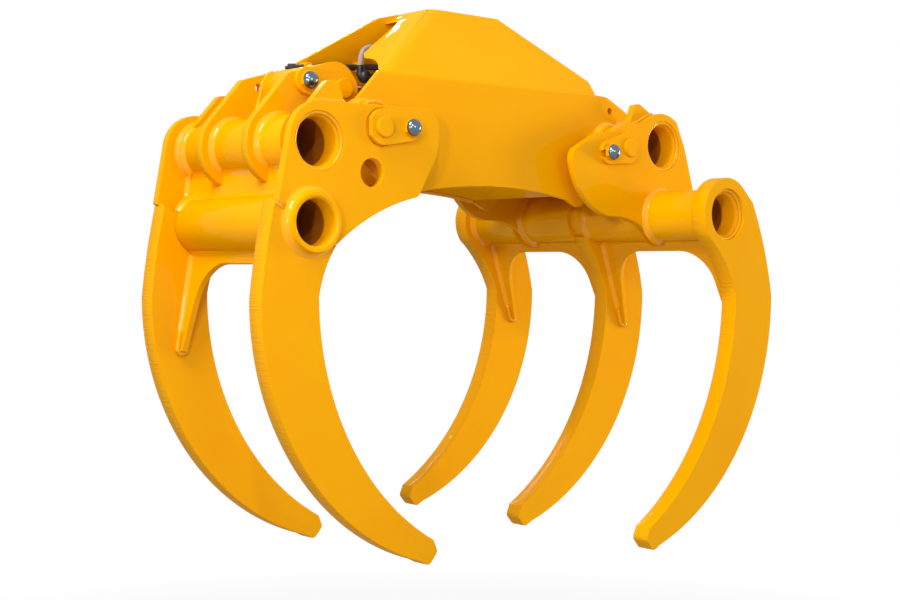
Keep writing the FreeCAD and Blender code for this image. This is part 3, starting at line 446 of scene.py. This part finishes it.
def braid_cover(name):
    """A woven cover on a piece's own map."""
    made = bpy.data.materials.new(name)
    tree = tree_of(made)
    coords = node(tree, "TexCoord")
    parts = node(tree, "SeparateXYZ", Vector=coords.outputs["UV"])
    along = math_node(tree, "MULTIPLY", parts.outputs["X"], WAVE_ALONG)
    round_way = math_node(tree, "MULTIPLY", parts.outputs["Y"], 2 * math.pi * YARNS_ROUND)
    one = math_node(tree, "SINE", math_node(tree, "ADD", along, round_way))
    other = math_node(tree, "SINE", math_node(tree, "SUBTRACT", along, round_way))
    weave = math_node(tree, "MULTIPLY", one, other)
    height = math_node(tree, "MULTIPLY_ADD", weave, 0.5, 0.5)
    bump = node(tree, "Bump", Strength=0.7, Distance=0.0008, Height=height)
    # Painted light and shade: lighter on the raised crossings, darker in the gaps between them.
    tint = node(tree, "Mix", n0=height, n6=(0.22, 0.165, 0.145, 1.0), n7=(0.58, 0.47, 0.42, 1.0))
    tint.data_type = "RGBA"
    skin = node(tree, "BsdfPrincipled", Base_Color=tint.outputs[2], Normal=bump.outputs[0], Roughness=0.75)
    node(tree, "OutputMaterial", Surface=skin.outputs[0])
    return made


hose.data.materials.append(braid_cover("braided_cover"))
print("braid on", hose.name)

# %% [markdown]
# ## Weld beads
# The grapple is one big weldment, and the beads are what make it look like one. A bead is a rope of metal
# laid in the corner between two plates, built up in small overlapping drops. It could be sculpted, or baked
# as a bump, but a bump leaves the corner sharp. Here a thick bead is a curve with a round bevel whose
# thickness swells and shrinks from drop to drop. In the inner corners of tubes and plates the paint has
# flowed over the bead and left a smooth hollow fillet. There a small section is drawn across the corner and
# spun round the tube, or pushed along the corner. The section's corners are given as shares of its width on
# either face. The places come from the same sizes as the plates.

# %% Bead helpers
DROP = 2.3
SPIN_STEP = 4.0
FILLET_SECTION = [(-0.08, -0.08), (1.02, -0.04), (0.66, 0.11), (0.36, 0.36), (0.11, 0.66), (-0.04, 1.02)]


def spaced(corners, step=DROP):
    """Points along a line of corners, one weld drop apart."""
    points = []
    for start, end in zip(corners, corners[1:]):
        start, end = Vector(start), Vector(end)
        count = max(1, round((end - start).length / step))
        points += [start.lerp(end, i / count) for i in range(count)]
    return points + [Vector(corners[-1])]


def seam(points, size, closed=False):
    """One pass of weld, drawn through points in metres; size is its radius in mm."""
    deselect()
    bpy.ops.curve.primitive_nurbs_path_add()
    bead = bpy.context.object
    line = bead.data
    line.splines.clear()
    spline = line.splines.new("POLY")
    spline.points.add(len(points) - 1)
    for i, (knot, place) in enumerate(zip(spline.points, points)):
        knot.co = (*place, 1.0)
        to_end = len(points) if closed else min(i, len(points) - 1 - i)
        taper = (0.55, 0.82, 0.95)[to_end] if to_end < 3 else 1.0
        swell = 1.0 + 0.045 * (-1) ** i + 0.05 * math.sin(0.37 * i) + 0.03 * math.sin(1.13 * i)
        knot.radius = taper * swell
    spline.use_cyclic_u = closed
    line.bevel_depth = size / 1000
    line.bevel_resolution = 1
    line.use_fill_caps = True
    only(bead)
    bpy.ops.object.convert(target="MESH")
    bpy.ops.object.shade_smooth()
    return bpy.context.object


def in_jaw(side, points):
    """Points from a jaw's own mm to their places in the scene."""
    return [jaw_place(side, out, up, y) for out, y, up in points]


def straight_seam(side, corners, size):
    """A single pass along corners given in a jaw's own mm as (out, y, up)."""
    return [seam(in_jaw(side, spaced(corners)), size)]


def ring_seam(side, axis, radius, y, size):
    """A single pass all round an axis across a jaw, at y; everything in mm."""
    count = round(math.radians(360) * radius / DROP)
    angles = [math.radians(360 / count * i) for i in range(count)]
    ring = [Vector((axis[0] + radius * math.cos(a), y, axis[1] + radius * math.sin(a))) for a in angles]
    return [seam(in_jaw(side, ring), size, True)]


def section(corner, u, v, width):
    """The outline of a hollow fillet between two faces that run from a corner along u and v."""
    deselect()
    bpy.ops.curve.primitive_nurbs_path_add()
    outline = bpy.context.object
    line = outline.data
    line.splines.clear()
    spline = line.splines.new("POLY")
    spline.points.add(len(FILLET_SECTION) - 1)
    for knot, (along_u, along_v) in zip(spline.points, FILLET_SECTION):
        knot.co = (*(corner + (u * along_u + v * along_v) * width / 1000), 1.0)
    spline.use_cyclic_u = True
    bpy.ops.object.convert(target="MESH")
    bpy.ops.object.mode_set(mode="EDIT")
    bpy.ops.mesh.select_all(action="SELECT")


def close_fillet():
    """Caps a swept section's open ends and turns its faces outwards."""
    bpy.ops.mesh.select_all(action="SELECT")
    bpy.ops.mesh.remove_doubles(threshold=0.000001)
    bpy.ops.mesh.fill_holes(sides=0)
    bpy.ops.mesh.normals_make_consistent(inside=False)
    bpy.ops.object.mode_set(mode="OBJECT")
    bpy.ops.object.shade_smooth_by_angle(angle=math.radians(50))
    return [bpy.context.object]


def ring_fillet(side, axis, radius, y, away, width, first=0.0, last=360.0):
    """A fillet round a tube or boss on a plate's face at y; away is 1 or -1, its way along Y from there."""
    centre = jaw_place(side, axis[0], axis[1], y)
    start = math.radians(first)
    out = Vector((side * math.cos(start), 0.0, math.sin(start)))
    section(centre + out * radius / 1000, out, Vector((0.0, away, 0.0)), width)
    bpy.ops.mesh.spin(steps=round((last - first) / SPIN_STEP), angle=math.radians(last - first),
                      center=centre, axis=(0.0, -side, 0.0))
    return close_fillet()


def straight_fillet(side, start, end, u, v, width):
    """A fillet along a corner from start to end, in a jaw's own mm; u and v lie along the two faces."""
    start, end = (jaw_place(side, place.x, place.z, place.y) for place in (start, end))
    u, v = (Vector((side * way.x, way.y, way.z)) for way in (u, v))
    section(start, u, v, width)
    bpy.ops.mesh.extrude_region_move(TRANSFORM_OT_translate={"value": end - start})
    return close_fillet()


def finish_welds(beads, name, body):
    """Makes one painted piece of a body's welds."""
    welds = settle(beads, name, body, bead_paint)
    print(name, len(beads), "welds,", triangles(welds), "triangles")


print("weld helpers ready")

# %% [markdown]
# ## The welds of a jaw
# Both jaws are built alike: two tubes run across between two ears, two lugs for the cylinder stand on the
# upper tube, a flat web ties the tubes together, and bridges with two legs stiffen the tines. The same few
# functions lay the welds of these for both jaws, from each jaw's own tube axes, and each jaw adds what only
# it has. Sizes are in millimetres, and across a jaw they count from its middle.

# %% Welds that both jaws have
EAR_IN, EAR_OUT = 197.0, 215.0
LUG_IN, LUG_OUT = 70.0, 90.0
RIB_IN = 179.0
WEB_NEAR, WEB_FAR = 9.0, 24.0
BRIDGE_HALF = 7.0
LEG_START = 62.0
EAR_BOSS_SEAM_R = 51.5
TUBE_SEAM_R = 55.3
RING_FACE, PLATE_FACE, BRIDGE_FACE, FOOT_FACE, PROUD_FACE = 10.5, 9.0, 8.5, 15.0, 13.0


def tube_welds(side, upper, rib_from, rib_to):
    """Rings on the upper tube, at its lugs, ears and ribs, and on the ears' bosses."""
    beads = []
    for way in (-1, 1):
        beads += ring_fillet(side, upper, TUBE_R, way * LUG_IN, -way, RING_FACE)
        beads += ring_fillet(side, upper, TUBE_R, way * LUG_OUT, way, RING_FACE)
        beads += ring_fillet(side, upper, TUBE_R, way * EAR_IN, -way, RING_FACE)
        beads += ring_fillet(side, upper, TUBE_R, way * RIB_IN, -way, PLATE_FACE, rib_from, rib_to)
        beads += ring_seam(side, upper, TUBE_SEAM_R, way * (UPPER_END + 1.6), 4.6)
        beads += ring_seam(side, PIVOT, EAR_BOSS_SEAM_R, way * (EAR_IN - 1.5), 4.0)
    return beads


def web_welds(side, upper, lower):
    """Fillets along the tube web: its four long corners on the tubes and its ends on the ears."""
    top, foot = Vector((upper[0], 0.0, upper[1])), Vector((lower[0], 0.0, lower[1]))
    down = (foot - top).normalized()
    outward = Vector((-down.z, 0.0, down.x)) if down.z < 0 else Vector((down.z, 0.0, -down.x))
    spans = ((-EAR_IN, -LUG_OUT), (-LUG_IN, LUG_IN), (LUG_OUT, EAR_IN))
    beads = []
    for level, way_out in ((WEB_FAR, 1), (WEB_NEAR, -1)):
        reach = math.sqrt(TUBE_R ** 2 - level ** 2)
        corners = []
        for hub, toward, parts in ((top, down, spans), (foot, -down, ((-EAR_IN, EAR_IN),))):
            corner = hub + toward * reach + outward * level
            along_tube = (outward * reach - toward * level) * way_out / TUBE_R
            for first, last in parts:
                ends = [corner + Vector((0, y, 0)) for y in (first, last)]
                beads += straight_fillet(side, *ends, toward, along_tube, PLATE_FACE)
            corners.append(corner)
        for way in (-1, 1):
            ends = [corner + Vector((0, way * EAR_IN, 0)) for corner in corners]
            beads += straight_fillet(side, *ends, outward * way_out, Vector((0, -way, 0)), PLATE_FACE)
    return beads


def bridge_welds(side, lower, toward, tip_at, inner, outer):
    """A bridge plate from y inner to outer: under the tube, down both legs and thick round their tips.

    The legs point toward a place, and their tips are tip_at from the tube's axis.
    """
    hub = Vector((lower[0], 0.0, lower[1]))
    down = (Vector((toward[0], 0.0, toward[1])) - hub).normalized()
    across = Vector((-down.z, 0.0, down.x))
    reach = math.sqrt(TUBE_R ** 2 - BRIDGE_HALF ** 2)
    beads = []
    for way in (-1, 1):
        face = across * way
        root = hub + down * reach + face * BRIDGE_HALF
        along_tube = (face * reach - down * BRIDGE_HALF) / TUBE_R
        ends = [root + Vector((0, y, 0)) for y in (inner, outer)]
        beads += straight_fillet(side, *ends, down, along_tube, PLATE_FACE)
        for y, inward in ((inner, 1), (outer, -1)):
            corner = hub + face * BRIDGE_HALF + Vector((0, y, 0))
            beads += straight_fillet(side, corner + down * LEG_START, corner + down * (tip_at - 6.0), face,
                                     Vector((0, inward, 0)), BRIDGE_FACE)
            thick = Vector((0, y + inward * 4.2, 0)) + hub
            beads += straight_seam(side, [thick + down * (tip_at - 42.0) + face * 10.2,
                                          thick + down * (tip_at - 4.0) + face * 10.2,
                                          thick + down * (tip_at + 5.0) + face * 5.2], 6.2)
    for y, inward in ((inner, 1), (outer, -1)):
        tip = hub + down * (tip_at + 3.5) + Vector((0, y + inward * 4.0, 0))
        beads += straight_seam(side, [tip - across * 8.0, tip + across * 8.0], 6.6)
    return beads


def lug_web_welds(side, outline, upper):
    """The plate that boxes in the lugs: along its outer corners, and across where it stands on the tube."""
    beads = []
    for way in (-1, 1):
        corners = [(out + 1.5, way * (LUG_IN - 2.0), up + 1.0) for out, up in outline]
        beads += straight_seam(side, corners, 4.8)
    near, low = (Vector((out, 0.0, up)) for out, up in outline[-2:])
    hub = Vector((upper[0], 0.0, upper[1]))
    fall = (low - near).normalized()
    middle = (hub - low).dot(fall)
    corner = low + fall * (middle - math.sqrt(TUBE_R ** 2 - (hub - low).length_squared + middle ** 2))
    radial = (corner - hub) / TUBE_R
    ends = [corner + Vector((0, y, 0)) for y in (-LUG_IN, LUG_IN)]
    return beads + straight_fillet(side, *ends, -fall, Vector((radial.z, 0.0, -radial.x)), FOOT_FACE)


print("welds of both jaws ready")

# %% Left jaw welds
TINE_IN = 175.0
JOINT_START, JOINT_END = (252.0, -149.0), (108.0, -231.0)
JOINT_ANGLE = 29.7
LEFT_RIB_LINE = [(78.0, 45.0), (152.0, 43.0)]
LEFT_BRIDGE_WAY, LEFT_BRIDGE_TIP = (215.0, -450.0), 263.0
LEFT_LUG_WEB = [(58.0, 128.0), (73.0, 119.0), (84.0, 103.0), (90.0, 74.0), (108.0, 18.0)]


def left_ear_welds():
    """Ears on tines: the rings on the lower tube, the joint line, and the step on the inner side."""
    start, end = (Vector((out, 0.0, up)) for out, up in (JOINT_START, JOINT_END))
    along = (end - start).normalized()
    across = Vector((along.z, 0.0, -along.x))
    beads = []
    for way in (-1, 1):
        beads += ring_fillet(LEFT, LEFT_LOWER, TUBE_R, way * EAR_OUT, way, PROUD_FACE)
        beads += ring_fillet(LEFT, LEFT_LOWER, TUBE_R, way * TINE_IN, -way, RING_FACE,
                             JOINT_ANGLE + 180, JOINT_ANGLE + 360)
        beads += ring_fillet(LEFT, LEFT_LOWER, TUBE_R, way * EAR_IN, -way, PLATE_FACE,
                             JOINT_ANGLE, JOINT_ANGLE + 180)
        for lift in (-3.6, 3.6):
            shift = across * lift + Vector((0, way * (EAR_OUT - 1.2), 0))
            beads += straight_seam(LEFT, [start + along * 1.5 + shift, start + along * 27.0 + shift], 4.7)
            beads += straight_seam(LEFT, [end - along * 12.0 + shift, end - along * 1.5 + shift], 4.7)
        step = across * 2.0 * (1 if across.z > 0 else -1) + Vector((0, way * (EAR_IN - 2.0), 0))
        beads += straight_seam(LEFT, [start + step, start + along * 32.0 + step], 4.8)
        beads += straight_seam(LEFT, [end - along * 16.0 + step, end + step], 4.8)
        beads += straight_seam(LEFT, [(out, way * (EAR_IN + 2.0), up) for out, up in LEFT_RIB_LINE], 4.4)
    return beads


left_beads = tube_welds(LEFT, LEFT_UPPER, 56.0, 164.0) + web_welds(LEFT, LEFT_UPPER, LEFT_LOWER)
left_beads += bridge_welds(LEFT, LEFT_LOWER, LEFT_BRIDGE_WAY, LEFT_BRIDGE_TIP, -TINE_IN, TINE_IN)
left_beads += lug_web_welds(LEFT, LEFT_LUG_WEB, LEFT_UPPER)
left_beads += left_ear_welds()
finish_welds(left_beads, "left_welds", "left_jaw")

# %% Right jaw welds
MIDDLE_TINE_HALF = 20.0
OUTER_TINE_IN = 371.0
EAR_ARC, MIDDLE_TINE_ARC = (-23.0, 242.0), (-125.0, 39.0)
COPE_ENDS, COPE_SEAM_R = (41.0, 233.0), 59.0
RIGHT_BRIDGE_WAY, RIGHT_BRIDGE_TIP = (208.0, -410.0), 272.0
RIGHT_LUG_WEB = [(54.0, 131.0), (66.0, 121.0), (75.0, 104.0), (80.0, 85.0), (92.0, 59.0)]
RIGHT_RIB_LINE = [(36.0, 60.0), (46.0, 61.0), (84.0, 79.5), (106.0, 85.5)]


def right_tine_welds():
    """Tines on the lower tube: rings at the ears, the outer tines' eyes and the coped middle tine."""
    beads = []
    for way in (-1, 1):
        beads += ring_fillet(RIGHT, RIGHT_LOWER, TUBE_R, way * EAR_OUT, way, RING_FACE, *EAR_ARC)
        beads += ring_fillet(RIGHT, RIGHT_LOWER, TUBE_R, way * EAR_IN, -way, RING_FACE, *EAR_ARC)
        beads += ring_fillet(RIGHT, RIGHT_LOWER, TUBE_R, way * OUTER_TINE_IN, -way, RING_FACE)
        beads += ring_fillet(RIGHT, RIGHT_LOWER, TUBE_R, way * MIDDLE_TINE_HALF, way, RING_FACE,
                             *MIDDLE_TINE_ARC)
        beads += ring_seam(RIGHT, RIGHT_LOWER, TUBE_SEAM_R, way * (RIGHT_LOWER_END + 1.8), 4.6)
        beads += straight_seam(RIGHT, [(out, way * (EAR_IN + 2.0), up) for out, up in RIGHT_RIB_LINE], 4.2)
    for angle in COPE_ENDS:
        out = RIGHT_LOWER[0] + COPE_SEAM_R * math.cos(math.radians(angle))
        up = RIGHT_LOWER[1] + COPE_SEAM_R * math.sin(math.radians(angle))
        beads += straight_seam(RIGHT, [(out, -24.0, up), (out, 24.0, up)], 5.0)
    return beads


right_beads = tube_welds(RIGHT, RIGHT_UPPER, 48.0, 150.0) + web_welds(RIGHT, RIGHT_UPPER, RIGHT_LOWER)
for near, far in ((MIDDLE_TINE_HALF, OUTER_TINE_IN), (-OUTER_TINE_IN, -MIDDLE_TINE_HALF)):
    right_beads += bridge_welds(RIGHT, RIGHT_LOWER, RIGHT_BRIDGE_WAY, RIGHT_BRIDGE_TIP, near, far)
right_beads += lug_web_welds(RIGHT, RIGHT_LUG_WEB, RIGHT_UPPER)
right_beads += right_tine_welds()
finish_welds(right_beads, "right_welds", "right_jaw")

# %% [markdown]
# ## The welds of the casing and the cylinder
# The casing has a ring round each pivot boss, outside and inside, and a long thin bead where the arched belly
# plate meets the walls. The barrel has a ring where its base is welded on.

# %% Casing and cylinder welds
WALL_OUT = 157.0
OUTER_BOSS_R = 55.0
INNER_BOSS_SEAM_R = 47.5
INSIDE_SEAM_Y = 143.5
BELLY_SEAM_HALF = 213.0
BELLY_CROWN = -94.0
BELLY_ARCH_R = 1226.6
BARREL_Z = PIVOT_Z + 0.086
BARREL_JOINT_X = 0.3003
BARREL_SEAM_R = 0.0585


def belly_height(x):
    """The height above the pivots, in mm, of the arch along which the belly plate meets the walls."""
    return BELLY_CROWN - (BELLY_ARCH_R - math.sqrt(BELLY_ARCH_R ** 2 - x ** 2))


casing_beads = []
for side in (LEFT, RIGHT):
    for way in (-1, 1):
        casing_beads += ring_fillet(side, PIVOT, OUTER_BOSS_R, way * WALL_OUT, way, 8.0)
        casing_beads += ring_seam(side, PIVOT, INNER_BOSS_SEAM_R, way * INSIDE_SEAM_Y, 4.0)
stations = [-BELLY_SEAM_HALF + 6.0 * i for i in range(72)]
for way in (-1, 1):
    wall_y = way * INSIDE_SEAM_Y / 1000
    arch = [Vector((x / 1000, wall_y, PIVOT_Z + (belly_height(x) - 1.5) / 1000)) for x in stations]
    casing_beads.append(seam(spaced(arch, DROP / 1000), 3.6))
finish_welds(casing_beads, "casing_welds", "casing")

joint = [Vector((BARREL_JOINT_X, BARREL_SEAM_R * math.cos(a), BARREL_Z + BARREL_SEAM_R * math.sin(a)))
         for a in (math.radians(2.25 * i) for i in range(160))]
finish_welds([seam(joint, 3.4, True)], "barrel_weld", "barrel")

# %% [markdown]
# ## Plated caps
# The bolts that stop the pins from turning are painted over, but the domes on their nuts were left bright.
# A dome is modelled upright as a ball cut off flat, and each nut of a jaw gets its own copy, turned outwards.

# %% Dome caps
CAP_R = 0.0184
CAP_CUT = 0.0042
PIN_CAP_Y, CYLINDER_CAP_Y = 230.0, 105.0


def dome():
    """The bright skin of one domed nut, standing on the origin with its top towards +Z."""
    deselect()
    bpy.ops.mesh.primitive_uv_sphere_add(segments=40, ring_count=20, radius=CAP_R)
    ball = bpy.context.object
    bpy.ops.object.mode_set(mode="EDIT")
    bpy.ops.mesh.select_all(action="SELECT")
    bpy.ops.mesh.bisect(plane_co=(0.0, 0.0, CAP_CUT), plane_no=(0.0, 0.0, 1.0), clear_inner=True,
                        use_fill=True)
    bpy.ops.object.mode_set(mode="OBJECT")
    bpy.ops.object.shade_smooth_by_angle(angle=math.radians(40))
    return ball


def caps(name, body, places):
    """A dome at each place (centre, and +1 or -1 for the way along Y that it faces)."""
    pieces = []
    for place, way in places:
        if pieces:
            only(pieces[0])
            bpy.ops.object.duplicate()
        else:
            dome()
        piece = bpy.context.object
        piece.location = place
        piece.rotation_euler = (math.radians(-90 * way), 0.0, 0.0)
        pieces.append(piece)
    whole = settle(pieces, name, body, dark_mirror_zinc)
    print(name, len(places), "domes,", triangles(whole), "triangles")


caps("left_caps", "left_jaw", [(jaw_place(LEFT, -66.96, 2.34, -PIN_CAP_Y), -1),
                               (jaw_place(LEFT, -66.96, 2.34, PIN_CAP_Y), 1),
                               (jaw_place(LEFT, 93.5, 94.0, -CYLINDER_CAP_Y), -1)])
caps("right_caps", "right_jaw", [(jaw_place(RIGHT, -65.5, -13.9, -PIN_CAP_Y), -1),
                                 (jaw_place(RIGHT, -65.5, -13.9, PIN_CAP_Y), 1),
                                 (jaw_place(RIGHT, 80.0, 98.0, CYLINDER_CAP_Y), 1)])

# %% [markdown]
# ## Dressing the CAD pieces
# Every CAD node gets a finish by name. A CAD solid has perfectly sharp edges, which never catch the light,
# so most nodes also get three live modifiers: one welds its loose triangles together, one melts the flat ones
# into whole faces, and one rounds every sharp edge by about a millimetre, as sanding and paint do. The hoses,
# the elbow, the rod with its eye, the pins and their nuts stay as they are.

# %% Finishes for CAD nodes
EDGE_R = 0.0013
OWN_FINISH = {"chrome": ["cylinder_rod"], "plated": ["braided_hose_cap", "port_plug", "cylinder_gland"],
              "black_steel": ["port_elbow", "barrel_ports"], "rubber": ["black_hose", "black_hose_ends"],
              "bronze": ["pivot_bushes", "barrel_bush", "rod_bush"], "iron": ["cylinder_piston"]}
FINISH = {"chrome": chrome, "plated": plated, "black_steel": black_steel, "rubber": black_rubber,
          "bronze": bronze, "iron": iron}
LEFT_SHARP = ("black_hose", "braided_hose", "rod_eye", "port_elbow", "cylinder_rod")
CUT_PLATES = ("tine", "ear_", "lug_", "bridge", "rib")


def soften(piece):
    """Three live modifiers that round a CAD piece's sharp edges."""
    weld = piece.modifiers.new("weld", "WELD")
    weld.merge_threshold = 0.00001
    melt = piece.modifiers.new("melt", "DECIMATE")
    melt.decimate_type = "DISSOLVE"
    melt.angle_limit = math.radians(1.5)
    melt.delimit = {"NORMAL"}
    rounding = piece.modifiers.new("round", "BEVEL")
    rounding.width = EDGE_R
    rounding.segments = 2
    rounding.limit_method = "ANGLE"
    rounding.angle_limit = math.radians(35)
    rounding.use_clamp_overlap = False
    rounding.harden_normals = True


def stays_sharp(name):
    """True for hoses, the elbow, the rod and the pins with their nuts, but not for the pins' plates."""
    return (name in LEFT_SHARP or "_pin" in name) and not name.endswith(("_plates", "_plate"))


plates = [name for name in nodes if any(word in name for word in CUT_PLATES)]
special = {name: FINISH[finish] for finish, names in OWN_FINISH.items() for name in names}
special.update(tube_paint)
for name, piece in nodes.items():
    piece.data.materials.clear()
    piece.data.materials.append(special.get(name, cut_paint if name in plates else sheet_paint))
    if not stays_sharp(name):
        soften(piece)
print(len(nodes), "CAD nodes dressed,", len(plates), "of them cut plates")
